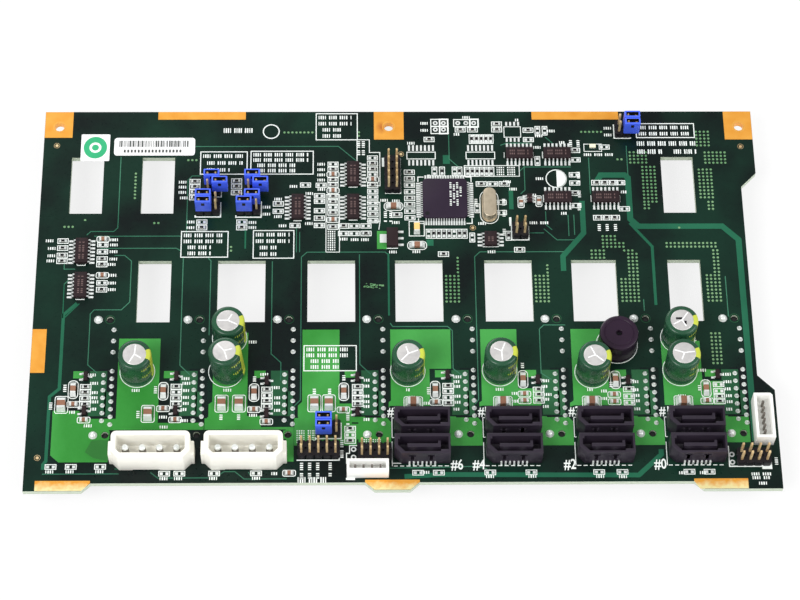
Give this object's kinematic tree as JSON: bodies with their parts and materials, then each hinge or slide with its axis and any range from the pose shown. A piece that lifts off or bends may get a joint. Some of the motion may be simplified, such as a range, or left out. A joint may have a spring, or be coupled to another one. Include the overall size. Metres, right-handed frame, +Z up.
{
  "type": "drive backplane board",
  "caption": "Flat green server drive backplane with ventilation windows, drive sockets underneath, upright data ports, power inlets, capacitors, chips and jumper headers on top.",
  "frame": {"origin": "middle of the board outline, feet included, at the mating faces of the drive sockets, which are the lowest faces", "axes": "+X right along the row of drive bays, +Y from the near edge with the feet and cable ports to the back edge with the screw holes, +Z up out of the component side"},
  "size_m": [0.2256, 0.1316, 0.0237],
  "materials": {
    "board_mask": "green solder mask over woven laminate, satin gloss",
    "socket_black": "black moulded glass-filled nylon",
    "port_black": "black moulded plastic, fine satin",
    "inlet_ivory": "ivory moulded nylon",
    "tin": "bright tin plate and solder",
    "gold": "gold plate, worn in places",
    "capacitor_sleeve": "shrunk green sleeve with a yellow stripe, aluminium top",
    "buzzer_black": "black moulded plastic",
    "chip_black": "black epoxy",
    "crystal_can": "drawn metal can",
    "resistor_black": "glazed black resistor face",
    "ceramic_tan": "tan ceramic",
    "tantalum_yellow": "yellow moulded epoxy",
    "lamp_clear": "clear lamp body",
    "header_black": "black moulded plastic",
    "shunt_blue": "blue moulded plastic",
    "nylon_white": "white moulded nylon",
    "sticker_white": "white coated paper"
  },
  "bodies": {
    "root": {"buzzer": "buzzer_black", "capacitor_1": "capacitor_sleeve", "capacitor_2": "capacitor_sleeve", "capacitor_3": "capacitor_sleeve", "capacitor_4": "capacitor_sleeve", "capacitor_5": "capacitor_sleeve", "capacitor_6": "capacitor_sleeve", "capacitor_7": "capacitor_sleeve", "capacitor_8": "capacitor_sleeve", "chip_capacitors_large": "ceramic_tan", "chip_capacitors_long": "ceramic_tan", "chip_capacitors_small": "ceramic_tan", "chip_resistors": "resistor_black", "circuit_board": "board_mask", "connector_pins": "tin", "controller_chip": "chip_black", "crystal": "crystal_can", "data_port_1": "port_black", "data_port_2": "port_black", "data_port_3": "port_black", "data_port_4": "port_black", "data_port_5": "port_black", "data_port_6": "port_black", "data_port_7": "port_black", "data_port_8": "port_black", "drive_socket_1": "socket_black", "drive_socket_2": "socket_black", "drive_socket_3": "socket_black", "drive_socket_4": "socket_black", "drive_socket_5": "socket_black", "drive_socket_6": "socket_black", "drive_socket_7": "socket_black", "drive_socket_8": "socket_black", "header_bases": "header_black", "header_pins": "gold", "jumper_shunts": "shunt_blue", "logic_chips": "chip_black", "long_sticker": "sticker_white", "port_contacts": "tin", "power_inlet_left": "inlet_ivory", "power_inlet_pins": "tin", "power_inlet_right": "inlet_ivory", "regulator": "chip_black", "regulator_leads": "tin", "side_connector": "nylon_white", "square_sticker": "sticker_white", "status_lamp": "lamp_clear", "tantalum_capacitor": "tantalum_yellow", "transistors": "chip_black", "wafer_connector": "nylon_white"}
  },
  "joints": []
}
